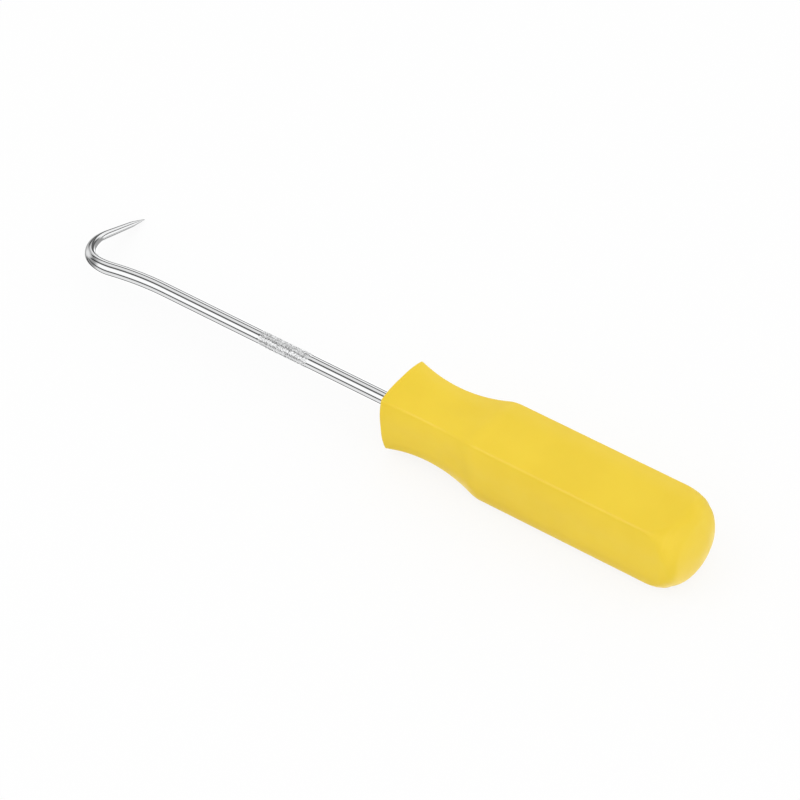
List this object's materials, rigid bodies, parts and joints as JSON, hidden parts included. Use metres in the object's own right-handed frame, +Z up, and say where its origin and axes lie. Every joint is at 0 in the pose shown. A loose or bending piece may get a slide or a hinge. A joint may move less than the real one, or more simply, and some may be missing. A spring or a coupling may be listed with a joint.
{
  "type": "o-ring pick",
  "caption": "Hand pick for o-rings and seals: a waisted square-section plastic grip on a bright wire shaft that bends into a tapered right-angle hook with a sharp point.",
  "frame": {"origin": "on the table under the middle of the straight part of the grip, on the tool's axis in plan", "axes": "+X along the tool's axis from the hook to the butt, +Z up as the tool lies at rest, +Y to the side the hook's leg points"},
  "size_m": [0.2095, 0.038, 0.0222],
  "materials": {
    "grip_plastic": "satin yellow moulding, lightly crowned sides",
    "bright_wire": "bright plated steel wire with a finely roughened band"
  },
  "bodies": {
    "root": {"handle": "grip_plastic", "hook_shaft": "bright_wire"}
  },
  "joints": []
}
